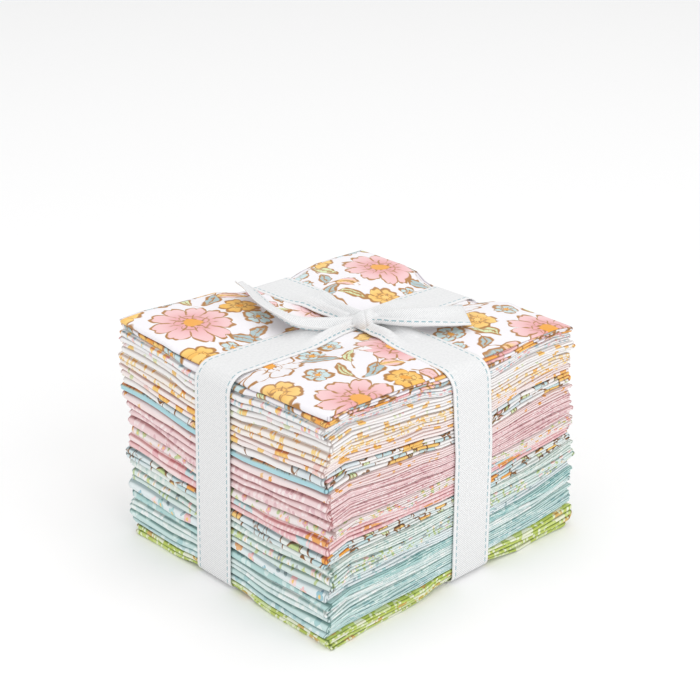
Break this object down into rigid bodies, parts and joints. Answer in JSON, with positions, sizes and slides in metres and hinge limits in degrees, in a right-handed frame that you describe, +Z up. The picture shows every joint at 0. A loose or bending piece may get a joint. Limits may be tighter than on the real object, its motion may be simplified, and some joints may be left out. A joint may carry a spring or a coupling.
{
  "type": "fat quarter bundle",
  "caption": "Squared-up stack of folded quilting-cotton fat quarters in floral and tonal prints, tied both ways with a flat ribbon knotted on top.",
  "frame": {"origin": "on the surface that the bundle rests on, under the middle of its box", "axes": "+Z up; the rounded folds of the fat quarters face -Y, the thin ends of their leaves face +X and -X, and the free ribbon tails point to -X and to +X +Y"},
  "size_m": [0.1285, 0.1428, 0.1064],
  "materials": {
    "cotton_lilac_white": "matt woven cotton, printed",
    "cotton_cream": "matt woven cotton, printed",
    "cotton_white": "matt woven cotton, printed",
    "cotton_pink": "matt woven cotton, printed",
    "cotton_rose": "matt woven cotton, printed",
    "cotton_pale_blue": "matt woven cotton, printed",
    "cotton_aqua": "matt woven cotton, printed",
    "cotton_green": "matt woven cotton, printed",
    "ribbon_white": "matt white cotton tape with a stitched line inside each edge"
  },
  "bodies": {
    "root": {"fat_quarter_01": "cotton_green", "fat_quarter_02": "cotton_aqua", "fat_quarter_03": "cotton_aqua", "fat_quarter_04": "cotton_aqua", "fat_quarter_05": "cotton_aqua", "fat_quarter_06": "cotton_pale_blue", "fat_quarter_07": "cotton_pale_blue", "fat_quarter_08": "cotton_aqua", "fat_quarter_09": "cotton_pale_blue", "fat_quarter_10": "cotton_rose", "fat_quarter_11": "cotton_white", "fat_quarter_12": "cotton_pink", "fat_quarter_13": "cotton_rose", "fat_quarter_14": "cotton_pink", "fat_quarter_15": "cotton_pink", "fat_quarter_16": "cotton_white", "fat_quarter_17": "cotton_white", "fat_quarter_18": "cotton_cream", "fat_quarter_19": "cotton_cream", "fat_quarter_20": "cotton_lilac_white", "fat_quarter_21": "cotton_lilac_white", "ribbon": "ribbon_white"}
  },
  "joints": []
}
